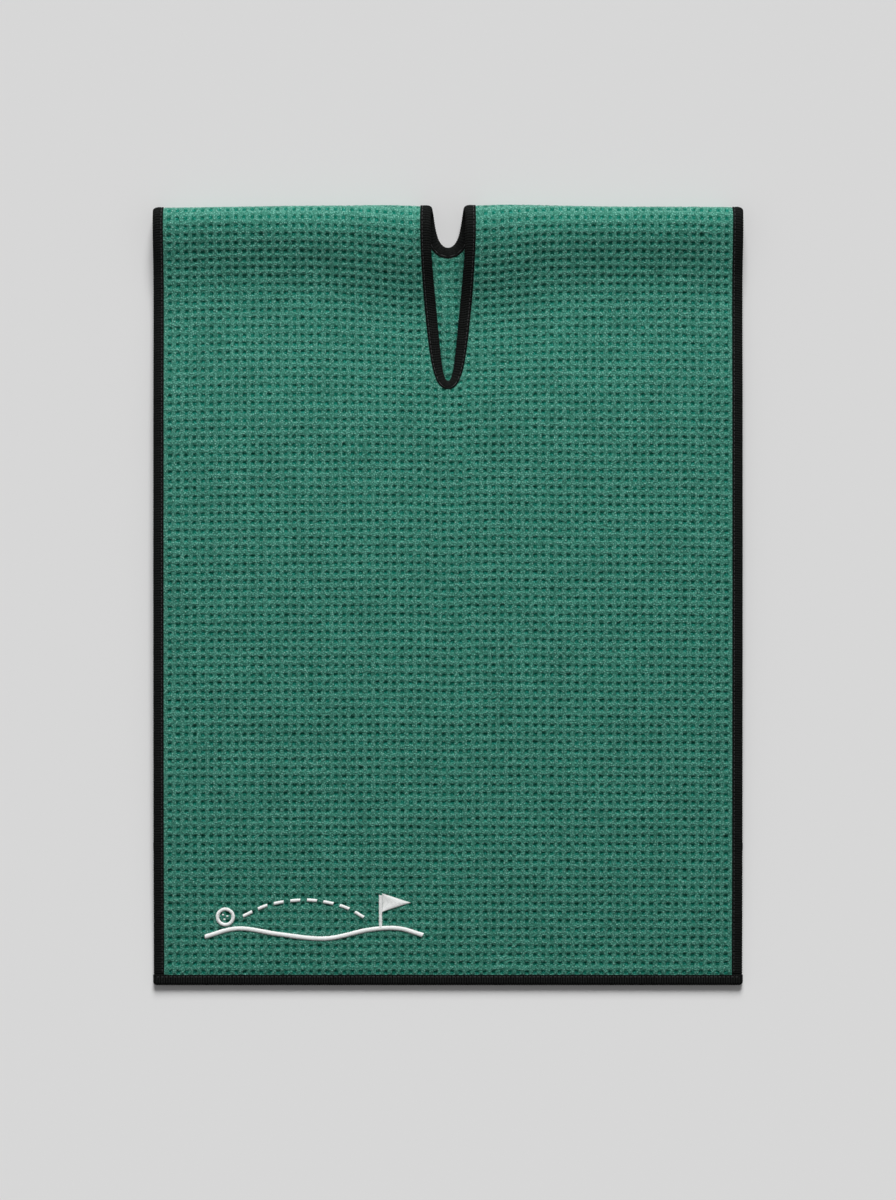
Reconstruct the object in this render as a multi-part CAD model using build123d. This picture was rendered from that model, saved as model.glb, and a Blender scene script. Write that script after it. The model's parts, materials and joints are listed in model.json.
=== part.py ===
from build123d import *
import os
from math import acos, atan2, cos, hypot, radians, sin

# Golf towel: one panel of waffle microfibre, bound all round and round its
# centre slit with folded woven tape, doubled over at the slit and lying flat.
# Frame: +Z up out of the cloth, +Y towards the fold, X across.  Millimetres.
# The origin is under the middle of the folded towel, on the surface it lies on.

# ---------------------------------------------------------------- dimensions
TOWEL_W = 406.0          # across the outer edges of the side bindings
TOWEL_L = 990.0          # hem to hem along the cloth, laid open
FRONT_DROP = 537.0       # fold edge to front hem, as folded
CLOTH_T = 3.0            # waffle cloth, ridge to ridge
TONGUE_T = 1.6           # the same cloth squeezed flat inside a binding
TAPE_T = 0.7             # woven binding tape
TAPE_W = 7.2             # visible width of the folded tape
HEM_PROUD = 0.4          # the hem tape's ends stand this far past the side tape
LEAF_GAP = 0.3           # air between the two leaves

FOLD_R = 7.0             # underside turn of the fold, on the cloth's middle
CROWN_R = 18.0           # crown of the fold
SLOPE_DEG = 20.0         # how steeply the fold falls to the front leaf
FOOT_R = 60.0            # the hollow where it flattens out

SLIT_HALF = 11.0         # half the open slit's width at the fold
SLIT_TAPE_W = 7.4        # visible width of the slit's binding
FRONT_SLIT_STRAIGHT = 36.0   # the front slit starts to narrow here
FRONT_SLIT_END_Y = 118.0     # centre of its round end, below the fold edge
FRONT_SLIT_END_R = 3.2
FRONT_SLIT_OUT_Y = 117.5     # centre of the tape's outer round end
FRONT_SLIT_OUT_R = 8.7
BACK_SLIT_STRAIGHT = 3.0
BACK_SLIT_END_Y = 22.0
BACK_SLIT_END_R = 6.5
BACK_SLIT_OUT_R = 13.3

SEAM_IN = 1.0            # seam line, in from the tape's edge on the cloth
SEAM_W = 0.6
SEAM_DEEP = 0.3          # the thread sinks this far into the tape
PINCH = 1.5              # a side tape is pinched shut this far above its hem
CLEAR = 0.05             # working clearance round pieces in the curved fold

MOTIF_T = 0.6            # satin stitching stands this far off the cloth
STROKE = 3.1
BACKING_T = 0.5

# ------------------------------------------------------------------ set-out
HW = TOWEL_W / 2
YF = FRONT_DROP / 2                  # the fold edge
YB = -FRONT_DROP / 2                 # the front hem's outer edge
Z_BACK = CLOTH_T / 2                 # middle of the back leaf
Z_FRONT = CLOTH_T * 1.5 + LEAF_GAP   # middle of the front leaf
IN_X = HW - TAPE_W                   # inner edge of the side tape
TON_X = HW - TAPE_T                  # end of the cloth inside the side tape

# The fold's middle line in the YZ plane, from the back leaf up round the turn,
# over the crown and down the slope to the front leaf.
ya = YF - CLOTH_T / 2 - FOLD_R
za = Z_BACK + FOLD_R
T1 = 60.0                            # where the turn hands over to the crown
T2 = 90.0 + SLOPE_DEG
yb = ya - (CROWN_R - FOLD_R) * cos(radians(T1))
zb = za - (CROWN_R - FOLD_R) * sin(radians(T1))
yc0 = yb + CROWN_R * cos(radians(T2))
zc0 = zb + CROWN_R * sin(radians(T2))
foot_drop = FOOT_R * (1 - cos(radians(SLOPE_DEG)))
slope_len = (zc0 - Z_FRONT - foot_drop) / sin(radians(SLOPE_DEG))
yc1 = yc0 - slope_len * cos(radians(SLOPE_DEG))
zc1 = zc0 - slope_len * sin(radians(SLOPE_DEG))
nx, nz = cos(radians(T2)), sin(radians(T2))
yd, zd = yc1 + FOOT_R * nx, zc1 + FOOT_R * nz
Y_BACK_JOIN = ya                     # the back leaf meets the fold here
Y_FRONT_JOIN = yd                    # the front leaf meets the fold here

arc_back = FOLD_R * radians(90)
arc_front = (
    FOLD_R * radians(T1)
    + CROWN_R * radians(T2 - T1)
    + slope_len
    + FOOT_R * radians(SLOPE_DEG)
)
Y_BACK_HEM = ya - (TOWEL_L - arc_back - arc_front - (Y_FRONT_JOIN - YB))
HINGE = (YF - 4.0, (Z_BACK + Z_FRONT) / 2)


# ------------------------------------------------------------------ helpers
def box(x0, x1, y0, y1, z0, z1):
    lo = (Align.MIN, Align.MIN, Align.MIN)
    return Pos(x0, y0, z0) * Box(x1 - x0, y1 - y0, z1 - z0, align=lo)


def polar(y, z, r, deg):
    return (y + r * cos(radians(deg)), z + r * sin(radians(deg)))


def fold_side(x, d):
    """Edges of the fold's middle line, moved d outward, at one X."""

    def arc(y, z, r, a0, a1):
        pts = [(x, *polar(y, z, r, a)) for a in (a0, (a0 + a1) / 2, a1)]
        return Edge.make_three_point_arc(*pts)

    a = arc(ya, za, FOLD_R + d, -90, T1)
    b = arc(yb, zb, CROWN_R + d, T1, T2)
    c = Edge.make_line(
        (x, yc0 + d * nx, zc0 + d * nz), (x, yc1 + d * nx, zc1 + d * nz)
    )
    e = arc(yd, zd, FOOT_R - d, 180 + T2, 270)
    return [a, b, c, e]


def fold_band(thick, x0, x1):
    """A layer of the given thickness round the fold, from x0 to x1."""
    top, low = fold_side(x0, thick / 2), fold_side(x0, -thick / 2)
    ends = [
        Edge.make_line((x0, ya, Z_BACK - thick / 2), (x0, ya, Z_BACK + thick / 2)),
        Edge.make_line((x0, yd, Z_FRONT - thick / 2), (x0, yd, Z_FRONT + thick / 2)),
    ]
    face = Face(Wire(top + low + ends))
    return extrude(face, amount=x1 - x0, dir=(1, 0, 0))


def slit_plan(half, straight, cy, r, grow=0.0):
    """A slit's outline seen from above: parallel, tapering, round-ended."""
    h, rr, y0, yc = half + grow, r + grow, YF - straight, YF - cy
    reach = hypot(h, y0 - yc)
    ang = atan2(y0 - yc, h) - acos(rr / reach)
    tx, ty = rr * cos(ang), yc + rr * sin(ang)
    top = YF + 6
    edges = [
        Edge.make_line((tx, ty), (h, y0)),
        Edge.make_line((h, y0), (h, top)),
        Edge.make_line((h, top), (-h, top)),
        Edge.make_line((-h, top), (-h, y0)),
        Edge.make_line((-h, y0), (-tx, ty)),
        Edge.make_three_point_arc((-tx, ty), (0, yc - rr), (tx, ty)),
    ]
    return Face(Wire(edges))


def front_slit(half, r_end=None, y_end=None, grow=0.0):
    r_end = FRONT_SLIT_END_R if r_end is None else r_end
    y_end = FRONT_SLIT_END_Y if y_end is None else y_end
    return slit_plan(half, FRONT_SLIT_STRAIGHT, y_end, r_end, grow)


def back_slit(half, r_end, grow=0.0):
    return slit_plan(half, BACK_SLIT_STRAIGHT, BACK_SLIT_END_Y, r_end, grow)


def prism(face, z0, z1):
    return Pos(0, 0, z0) * extrude(face, amount=z1 - z0, dir=(0, 0, 1))


OUT_HALF = SLIT_HALF + SLIT_TAPE_W
F_IN = front_slit(SLIT_HALF)
F_MID = front_slit(SLIT_HALF, grow=TAPE_T)
F_OUT = front_slit(OUT_HALF, FRONT_SLIT_OUT_R, FRONT_SLIT_OUT_Y)
F_S1 = front_slit(OUT_HALF, FRONT_SLIT_OUT_R, FRONT_SLIT_OUT_Y, -SEAM_IN)
F_S2 = front_slit(OUT_HALF, FRONT_SLIT_OUT_R, FRONT_SLIT_OUT_Y, -SEAM_IN - SEAM_W)
B_IN = back_slit(SLIT_HALF, BACK_SLIT_END_R)
B_MID = back_slit(SLIT_HALF, BACK_SLIT_END_R, TAPE_T)
B_OUT = back_slit(OUT_HALF, BACK_SLIT_OUT_R)
B_S1 = back_slit(OUT_HALF, BACK_SLIT_OUT_R, -SEAM_IN)
B_S2 = back_slit(OUT_HALF, BACK_SLIT_OUT_R, -SEAM_IN - SEAM_W)

# Round the turn, the part under the turn's centre follows the back slit and
# the rest follows the front one.
UNDER_TURN = box(-60, 60, Y_BACK_JOIN, YF + 8, -2, za)


def fold_slit(front_face, back_face):
    upper = prism(front_face, -2, 40) - UNDER_TURN
    lower = prism(back_face, -2, 40) & UNDER_TURN
    return upper + lower


def band_of(zone):
    """A function giving that zone's layer: thickness, x range, y range."""
    if zone == "fold":
        return lambda t, x0, x1, y0=None, y1=None: fold_band(t, x0, x1)
    mid = Z_BACK if zone == "back" else Z_FRONT
    ends = (Y_BACK_HEM, Y_BACK_JOIN) if zone == "back" else (YB, Y_FRONT_JOIN)

    def flat(t, x0, x1, y0=None, y1=None):
        y0 = ends[0] if y0 is None else y0
        y1 = ends[1] if y1 is None else y1
        return box(x0, x1, y0, y1, mid - t / 2, mid + t / 2)

    return flat


CUTS = {
    "fold": [fold_slit(f, b) for f, b in
             ((F_IN, B_IN), (F_MID, B_MID), (F_OUT, B_OUT), (F_S1, B_S1), (F_S2, B_S2))],
    "front": [prism(f, -2, 40) for f in (F_IN, F_MID, F_OUT, F_S1, F_S2)],
    "back": [prism(f, -2, 40) for f in (B_IN, B_MID, B_OUT, B_S1, B_S2)],
}

nodes = {}

for zone in ("back", "fold", "front"):
    band = band_of(zone)
    c_in, c_mid, c_out, c_s1, c_s2 = CUTS[zone]
    gap = CLEAR if zone == "fold" else 0.0
    hem = {"back": Y_BACK_HEM, "front": YB}.get(zone)
    suffix = zone
    y_in = None if hem is None else hem + TAPE_W      # inner edge of the hem tape
    y_ton = None if hem is None else hem + TAPE_T     # cloth's end inside it

    # -- the waffle cloth: full thickness in the open, squeezed in the tapes
    full = band(CLOTH_T, -IN_X + gap, IN_X - gap, y_in)
    y_open = None if hem is None else y_in + PINCH    # the side tapes open here
    thin = band(TONGUE_T, -TON_X, TON_X, y_open)
    if hem is not None:
        thin = thin + band(TONGUE_T, -IN_X, IN_X, y_ton, y_open)
    grown = c_out if gap == 0 else fold_slit(
        front_slit(OUT_HALF, FRONT_SLIT_OUT_R, FRONT_SLIT_OUT_Y, gap),
        back_slit(OUT_HALF, BACK_SLIT_OUT_R, gap),
    )
    cloth = (full - grown) + (thin - c_mid)
    if zone == "fold":
        nodes["cloth_fold_left"] = cloth & box(-300, 0, -300, 300, -5, 60)
        nodes["cloth_fold_right"] = cloth & box(0, 300, -300, 300, -5, 60)
    else:
        nodes["cloth_" + zone + "_leaf"] = cloth

    # -- the slit's binding, folded over the cut edge from both faces
    outer = (band(CLOTH_T, -60, 60, y_in) & c_out) - c_in
    cavity = band(TONGUE_T + 2 * gap, -60, 60, y_in) - c_mid
    groove = (band(CLOTH_T + 2, -60, 60, y_in)
              - band(CLOTH_T - 2 * SEAM_DEEP, -60, 60, y_in)) & (c_s1 - c_s2)
    thread = (band(CLOTH_T, -60, 60, y_in)
              - band(CLOTH_T - 2 * SEAM_DEEP + 2 * gap, -60, 60, y_in)) & (c_s1 - c_s2)
    if zone == "fold":
        thread = (band(CLOTH_T, -60, 60) - band(CLOTH_T - 2 * SEAM_DEEP + 2 * gap, -60, 60)) & fold_slit(
            front_slit(OUT_HALF, FRONT_SLIT_OUT_R, FRONT_SLIT_OUT_Y, -SEAM_IN - gap),
            back_slit(OUT_HALF, BACK_SLIT_OUT_R, -SEAM_IN - gap),
        ) - fold_slit(
            front_slit(OUT_HALF, FRONT_SLIT_OUT_R, FRONT_SLIT_OUT_Y, -SEAM_IN - SEAM_W + gap),
            back_slit(OUT_HALF, BACK_SLIT_OUT_R, -SEAM_IN - SEAM_W + gap),
        )
    binding = outer - cavity - groove
    if zone == "fold":
        nodes["slit_binding_fold_left"] = binding & box(-60, 0, -300, 300, -5, 60)
        nodes["slit_binding_fold_right"] = binding & box(0, 60, -300, 300, -5, 60)
    else:
        nodes["slit_binding_" + suffix] = binding
    nodes["stitching_slit_" + suffix] = thread

    # -- the side bindings and their seams; the hem tape covers their ends
    for side, sign in (("left", -1), ("right", 1)):
        def across(t, a, b, y0=None, y1=None):
            lo, hi = sorted((sign * a, sign * b))
            return band(t, lo, hi, y0, y1)

        tape = across(CLOTH_T, IN_X, HW, y_in) - across(TONGUE_T + 2 * gap, IN_X - 1, TON_X + gap, y_open)
        s0, s1 = IN_X + SEAM_IN, IN_X + SEAM_IN + SEAM_W
        tape = tape - (across(CLOTH_T + 2, s0, s1, y_in) - across(CLOTH_T - 2 * SEAM_DEEP, s0, s1, y_in))
        if hem is not None:
            tape = tape + across(TONGUE_T, IN_X, TON_X, y_ton, y_in)
        nodes["side_binding_" + side + "_" + suffix] = tape
        nodes["stitching_" + side + "_" + suffix] = (
            across(CLOTH_T, s0 + gap, s1 - gap, y_in)
            - across(CLOTH_T - 2 * SEAM_DEEP + 2 * gap, s0 + gap, s1 - gap, y_in)
        )

    # -- the hem bindings and their seams
    if hem is not None:
        ex = HW + HEM_PROUD
        tape = band(CLOTH_T, -ex, ex, hem, y_in) - band(TONGUE_T, -TON_X, TON_X, y_ton, y_in)
        sy1, sy0 = y_in - SEAM_IN, y_in - SEAM_IN - SEAM_W
        sx = HW - 1.0
        tape = tape - (band(CLOTH_T + 2, -sx, sx, sy0, sy1) - band(CLOTH_T - 2 * SEAM_DEEP, -sx, sx, sy0, sy1))
        nodes["hem_binding_" + suffix] = tape
        nodes["stitching_hem_" + suffix] = (
            band(CLOTH_T, -sx, sx, sy0, sy1) - band(CLOTH_T - 2 * SEAM_DEEP, -sx, sx, sy0, sy1)
        )

# ------------------------------------------------- the embroidered motif
# A plain line motif near the front hem: a rolling fairway line with a small
# flag standing on it, a ball at the other end and the ball's flight in short
# dashes between them, all in raised satin stitch.
Z_TOP = Z_FRONT + CLOTH_T / 2
MX, MY = -92.5, YF - 495.0           # middle of the motif
M_HALF = 75.0
FLIGHT_W = 2.3


def stroke(points, width=STROKE, start=0.0, end=1.0, n=56):
    """A stroke of even width along a smooth line through the points, or along
    the part of it between start and end."""
    line = Spline(*[(MX + x, MY + y) for x, y in points])
    at = [start + (end - start) * i / n for i in range(n + 1)]
    pts = [line @ t for t in at]
    tan = [line % t for t in at]
    left = [(p.X - t.Y * width / 2, p.Y + t.X * width / 2) for p, t in zip(pts, tan)]
    right = [(p.X + t.Y * width / 2, p.Y - t.X * width / 2) for p, t in zip(pts, tan)]
    return make_face(Polyline(*left, *right[::-1], left[0]))


fairway = stroke([(-75, -8.2), (-52, -2.6), (-24, -6.6), (8, -9.6), (38, -3.6), (58, -2.6), (75, -7.2)])
pole = Pos(MX + 46.0, MY + 9.0) * Rectangle(2.4, 22.4)
pennant = make_face(Polyline(
    (MX + 46.5, MY + 21.6), (MX + 67.1, MY + 15.2), (MX + 46.5, MY + 8.8),
    (MX + 46.5, MY + 21.6)))
ball = Pos(MX - 61.0, MY + 5.4) * (Circle(6.65) - Circle(4.15))
flight_line = [(-50, 5.4), (-30, 14.0), (-4, 17.0), (20, 12.6), (37, 3.6)]
flight = [stroke(flight_line, FLIGHT_W, (k + 0.12) / 8, (k + 0.72) / 8, 8) for k in range(8)]
motif = extrude(fairway + pole + pennant, amount=MOTIF_T) + extrude(ball, amount=MOTIF_T)
for dash in flight:
    motif = motif + extrude(dash, amount=MOTIF_T)
nodes["embroidery_motif"] = Pos(0, 0, Z_TOP) * motif

backing = Pos(MX, MY + 5.0, Z_FRONT - CLOTH_T / 2 - BACKING_T) * extrude(
    RectangleRounded(2 * M_HALF + 8, 34.0, 4.0), amount=BACKING_T)
nodes["embroidery_backing"] = backing

# -------------------------------------------------------------------- output
os.makedirs("parts", exist_ok=True)
for name, shape in nodes.items():
    solids = shape.solids()
    out = solids[0] if len(solids) == 1 else Compound(children=[s for s in solids])
    export_step(out, "parts/" + name + ".step")

print("fold join back y", round(Y_BACK_JOIN, 3), "front y", round(Y_FRONT_JOIN, 3))
print("back hem y", round(Y_BACK_HEM, 3), "hinge y,z", HINGE)
print("arc round the fold", round(arc_back, 2), round(arc_front, 2))
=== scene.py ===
import json
import math
import bpy
import numpy as np
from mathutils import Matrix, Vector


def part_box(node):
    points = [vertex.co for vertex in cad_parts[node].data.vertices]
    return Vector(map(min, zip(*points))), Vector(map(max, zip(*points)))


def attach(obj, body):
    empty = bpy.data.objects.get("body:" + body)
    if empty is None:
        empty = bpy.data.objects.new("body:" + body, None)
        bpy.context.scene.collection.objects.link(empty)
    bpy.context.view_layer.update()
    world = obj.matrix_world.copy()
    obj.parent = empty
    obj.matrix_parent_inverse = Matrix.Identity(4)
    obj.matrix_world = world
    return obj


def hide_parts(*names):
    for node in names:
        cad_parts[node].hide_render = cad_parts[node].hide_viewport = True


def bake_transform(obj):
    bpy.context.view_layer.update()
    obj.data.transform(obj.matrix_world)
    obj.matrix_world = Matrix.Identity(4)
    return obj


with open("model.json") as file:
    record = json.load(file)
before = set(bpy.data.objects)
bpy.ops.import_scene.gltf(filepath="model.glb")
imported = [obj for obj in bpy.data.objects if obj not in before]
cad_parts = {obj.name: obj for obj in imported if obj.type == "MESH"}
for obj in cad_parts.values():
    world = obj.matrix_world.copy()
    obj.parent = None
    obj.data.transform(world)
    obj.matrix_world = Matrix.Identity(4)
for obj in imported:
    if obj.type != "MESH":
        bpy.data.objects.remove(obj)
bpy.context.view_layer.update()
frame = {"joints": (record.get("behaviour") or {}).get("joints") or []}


MM = 0.001

# ------------------------------------------------------------------ set-out
# All lengths below are millimetres in the row frame.  A point of the towel is
# given as (u, s, n): u across the cloth, s along it from the fold edge
# (positive down the front leaf, negative along the back leaf), and n out of
# the cloth's face side.  place() turns that into the folded shape.
YF = max(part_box("cloth_fold_left")[1][1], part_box("cloth_fold_right")[1][1]) / MM
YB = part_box("hem_binding_front")[0][1] / MM
Y_BACK_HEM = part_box("hem_binding_back")[0][1] / MM
HALF_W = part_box("side_binding_right_front")[1][0] / MM
TAPE_W = HALF_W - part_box("side_binding_right_front")[0][0] / MM
HINGE_Y = frame["joints"][0]["pos_m"][1] / MM
HINGE_Z = frame["joints"][0]["pos_m"][2] / MM
S_F, S_B = 540.9, 449.1          # cloth from the fold edge to each hem
IN_X = HALF_W - TAPE_W           # inner edge of the side tape

Z_BACK, Z_FRONT = 1.85, 5.3      # the cloth's middle in the two leaves
T_HALF = 1.6                     # half the thickness of a bound edge


def smooth(x):
    x = np.clip(x, 0, 1)
    return x * x * (3 - 2 * x)


def wave(u, t):
    """A gentle unevenness of the front leaf, never negative."""
    a = np.sin(u / 47.0 + 0.8) * np.sin(t / 61.0 + 0.4)
    b = np.sin(u / 29.0 - t / 83.0 + 2.1)
    c = np.sin(u / 83.0 + t / 37.0 + 4.0)
    return 0.35 + 0.16 * a + 0.10 * b + 0.09 * c


def top_edge(u):
    """How far the fold edge stands off its straight line, across the towel."""
    a = abs(u)
    pts = ((0, 0.0), (18.6, 0.0), (24, 0.25), (38, 0.85), (60, 0.95), (85, 0.55),
           (120, 0.15), (160, -0.2), (196, -0.55), (206, -0.6))
    stand = float(np.interp(a, [p[0] for p in pts], [p[1] for p in pts])) + 0.18 * math.sin(u / 23.0)
    # the turned tape is pinched: its corners are drawn in
    stand -= 2.0 * float(smooth((a - 199.8) / 4.2)) + 1.9 * float(smooth((14.0 - a) / 4.0))
    return stand + 0.35 * float(smooth((22.0 - a) / 3.0))


BESIDE_T = np.array((14.1, 17.5, 21.0, 26.0, 31.5, 37.0, 42.5, 48.0, 53.5, 59.0, 64.5, 70.0, 75.5, 81.0, 88.0))
BESIDE_M = np.array((0.0, 5.0, 10.9, 16.3, 20.5, 24.2, 27.0, 29.6, 28.4, 25.4, 21.5, 13.2, 6.8, 2.8, 0.0))


# the front leaf's slow swell, as slopes down its length
SWELL_T = np.array((62, 79, 108, 137, 166, 195, 224, 253, 282, 311, 340, 369, 398, 427, 450, 460))
SWELL_M = np.array((0, -0.0064, 0.0129, -0.0032, 0, 0.0175, 0.0291, 0.0091,
                    0.0039, 0.0065, -0.0072, -0.0168, -0.0152, -0.0217, -0.0212, 0))


def running(m, t):
    """The share of m's area that lies before each t."""
    area = np.concatenate([[0], np.cumsum((m[1:] + m[:-1]) / 2 * np.diff(t))])
    return area / area[-1]


def column(u):
    """The cloth's middle line in one YZ plane: y, z and length from the edge."""
    a = abs(u)
    near = math.exp(-((max(a - 18.0, 0.0)) / 46.0) ** 2)     # 1 beside the slit
    ta = 12.5 + 1.6 * near                                   # crown
    za = 15.7 + 4.4 * near - 1.0 * float(smooth((a - 150) / 50))
    ye, ze = YF - 1.55 + top_edge(u), 8.0 + 3.4 * near
    y0 = YF - 8.5
    k = 0.5523
    q = np.linspace(0, 1, 61)[:, None]

    def bez(p0, p1, p2, p3):
        return ((1 - q) ** 3 * p0 + 3 * (1 - q) ** 2 * q * p1
                + 3 * (1 - q) * q * q * p2 + q ** 3 * p3)

    p = np.array
    b1 = bez(p((y0, Z_BACK)), p((y0 + k * (ye - y0), Z_BACK)),
             p((ye, ze - k * (ze - Z_BACK))), p((ye, ze)))
    yt = YF - ta
    b2 = bez(p((ye, ze)), p((ye, ze + k * (za - ze))),
             p((yt + k * (ye - yt), za)), p((yt, za)))
    t = np.concatenate([np.arange(ta + 0.5, 130, 0.5), np.arange(130, 560, 2.0)])
    # how steeply it comes down from the crown: soon and short away from the
    # slit, later and longer beside it
    x = np.clip((t - ta) / 64.0, 0, 1)
    fall = running(np.sin(np.pi * x ** 0.58) ** 2, t) * (1 - near)
    fall = fall + running(np.interp(t, BESIDE_T, BESIDE_M), t) * near
    hump = 1.9 * smooth((t - 70) / 80) * (1 - smooth((t - 150) / 210))
    end = 2.85 * (0.5 * smooth((t - 452) / 80) + 0.5 * np.clip((t - 452) / 80, 0, 1))
    slope = np.interp(t, SWELL_T, SWELL_M)
    swell = np.concatenate([[0], np.cumsum((slope[1:] + slope[:-1]) / 2 * np.diff(t))])
    swell = swell * (1 + 0.3 * math.exp(-((u + 80) / 75) ** 2) - 0.15 * float(smooth(u / 150)))
    z = za + (Z_FRONT - za) * fall + hump + swell - end
    z = z + (wave(u, t) - 0.0) * smooth((t - 40) / 60) * (1 - 0.9 * smooth((t - 420) / 90))
    front = np.stack([YF - t, z], 1)
    back = np.stack([np.arange(Y_BACK_HEM - 12, y0 - 0.5, 2.0), np.full(len(np.arange(Y_BACK_HEM - 12, y0 - 0.5, 2.0)), Z_BACK)], 1)
    line = np.concatenate([back, b1[:-1], b2[:-1], front])
    step = np.hypot(*np.diff(line, axis=0).T)
    length = np.concatenate([[0], np.cumsum(step)])
    length -= length[len(back) + 60]
    at_f = np.interp(-YB, -line[len(back) + 130:, 0], length[len(back) + 130:])
    at_b = np.interp(Y_BACK_HEM, line[:len(back), 0], length[:len(back)])
    length = np.where(length > 0, length * (S_F / at_f), length * (S_B / -at_b))
    return line[:, 0], line[:, 1], length


U_T = np.linspace(-208, 208, 417)
S_T = np.arange(-S_B - 6, S_F + 6, 0.5)
P_T = np.zeros((len(U_T), len(S_T), 3))
for k_, u_ in enumerate(U_T):
    y_, z_, l_ = column(u_)
    P_T[k_, :, 0] = u_
    P_T[k_, :, 1] = np.interp(S_T, l_, y_)
    P_T[k_, :, 2] = np.interp(S_T, l_, z_)


def soften(a, axis, passes=2):
    """Takes the facets out of the table, along one axis."""
    for _ in range(passes):
        b = a.copy()
        sl = [slice(None)] * a.ndim
        lo, mid, hi = list(sl), list(sl), list(sl)
        lo[axis], mid[axis], hi[axis] = slice(0, -2), slice(1, -1), slice(2, None)
        b[tuple(mid)] = (a[tuple(lo)] + 2 * a[tuple(mid)] + a[tuple(hi)]) / 4
        a = b
    return a


P_T = soften(P_T, 1, 4)
du_ = np.gradient(P_T, U_T, axis=0)
ds_ = np.gradient(P_T, S_T, axis=1)
N_T = np.cross(ds_, du_)
N_T /= np.linalg.norm(N_T, axis=2, keepdims=True)

# How far each point of the cloth follows the front leaf.  The share is chosen
# so that the fold's cloth unrolls flat when the leaf is opened right over.
yy, zz = P_T[..., 1] - HINGE_Y, P_T[..., 2] - HINGE_Z
rho = np.hypot(yy, zz)
alpha = np.degrees(np.arctan2(zz, -yy))
target = 180 + np.degrees(np.arcsin(np.clip((HINGE_Z - Z_BACK) / np.maximum(rho, 2.4), 0, 1)))
share = np.clip((target - alpha) / 180, 0, 1)
past = S_T[None, :] > np.array([S_T[np.argmin(np.where(S_T < 0, r, 1e9))] for r in rho])[:, None]
share = np.where(past, share, 0.0)
W_T = soften(share, 1, 12)
W_T[:, S_T > 120] = share[:, S_T > 120]


def look(table, u, s):
    """Reads a table at (u, s), bilinear."""
    fu = np.clip((np.asarray(u, float) - U_T[0]) / (U_T[1] - U_T[0]), 0, len(U_T) - 1.001)
    fs = np.clip((np.asarray(s, float) - S_T[0]) / (S_T[1] - S_T[0]), 0, len(S_T) - 1.001)
    iu, js = fu.astype(int), fs.astype(int)
    a, b = fu - iu, fs - js
    if table.ndim == 3:
        a, b = a[..., None], b[..., None]
    return ((1 - a) * (1 - b) * table[iu, js] + a * (1 - b) * table[iu + 1, js]
            + (1 - a) * b * table[iu, js + 1] + a * b * table[iu + 1, js + 1])


def place(u, s, n):
    p = look(P_T, u, s)
    p[..., 0] = u
    nn = look(N_T, u, s)
    nn /= np.linalg.norm(nn, axis=-1, keepdims=True)
    return (p + np.asarray(n, float)[..., None] * nn) * MM


def s_at(u, t, front=True):
    """Length along the cloth of the point t below the fold edge at u."""
    k = int(round((u - U_T[0]) / (U_T[1] - U_T[0])))
    y = P_T[k, :, 1]
    side = S_T > 10 if front else S_T < -7
    below = YF - y[side]
    if not front:
        return float(np.interp(t, below[::-1], S_T[side][::-1])) if t > 6.5 else -11.0 * (t / 8.5) ** 0.62
    if t > 13:
        return float(np.interp(t, below, S_T[side]))
    return float(np.interp(13.0, below, S_T[side])) * (t / 13.0) ** 0.72


# ------------------------------------------------------------------- meshes
def outward(co, quads, tris):
    """The faces of a closed surface, turned over if they look inwards."""
    p = np.asarray(co, float)
    p = p - p.mean(0)
    volume = sum((p[f[:, 0]] * np.cross(p[f[:, 1]], p[f[:, 2]])).sum()
                 for f in (quads[:, :3], quads[:, [0, 2, 3]], tris))
    return (quads[:, ::-1], tris[:, ::-1]) if volume < 0 else (quads, tris)


def build(name, co, quads, attrs=None, uv=None, tris=None, solid=True):
    """A mesh object from numpy arrays; co in metres."""
    me = bpy.data.meshes.new(name)
    tris = np.zeros((0, 3), int) if tris is None else np.asarray(tris, int)
    quads = np.asarray(quads, int).reshape(-1, 4)
    if solid:
        quads, tris = outward(co, quads, tris)
    me.vertices.add(len(co))
    me.vertices.foreach_set("co", np.asarray(co, np.float32).ravel())
    loops = np.concatenate([quads.ravel(), tris.ravel()]).astype(np.int32)
    starts = np.concatenate([np.arange(len(quads)) * 4, len(quads) * 4 + np.arange(len(tris)) * 3]).astype(np.int32)
    me.loops.add(len(loops))
    me.loops.foreach_set("vertex_index", loops)
    me.polygons.add(len(starts))
    me.polygons.foreach_set("loop_start", starts)
    me.polygons.foreach_set("use_smooth", np.ones(len(starts), bool))
    me.update(calc_edges=True)
    me.validate()
    for key, val in (attrs or {}).items():
        at = me.attributes.new(key, "FLOAT", "POINT")
        at.data.foreach_set("value", np.asarray(val, np.float32))
    if uv is not None:
        layer = me.uv_layers.new(name="cloth")
        idx = np.zeros(len(me.loops), np.int32)
        me.loops.foreach_get("vertex_index", idx)
        layer.data.foreach_set("uv", np.asarray(uv, np.float32)[idx].ravel())
    ob = bpy.data.objects.new(name, me)
    bpy.context.scene.collection.objects.link(ob)
    return ob


def grid_quads(nr, nc, wrap_r=False, wrap_c=False, flip=False, base=0):
    r = np.arange(nr if wrap_r else nr - 1)
    c = np.arange(nc if wrap_c else nc - 1)
    R, C = np.meshgrid(r, c, indexing="ij")
    a = R * nc + C
    b = R * nc + (C + 1) % nc
    d = ((R + 1) % nr) * nc + C
    e = ((R + 1) % nr) * nc + (C + 1) % nc
    q = np.stack([a, b, e, d], -1).reshape(-1, 4) + base
    return q[:, ::-1] if flip else q


def follow(ob):
    """Bakes ob's placement into its mesh."""
    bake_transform(ob)
    return ob


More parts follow.
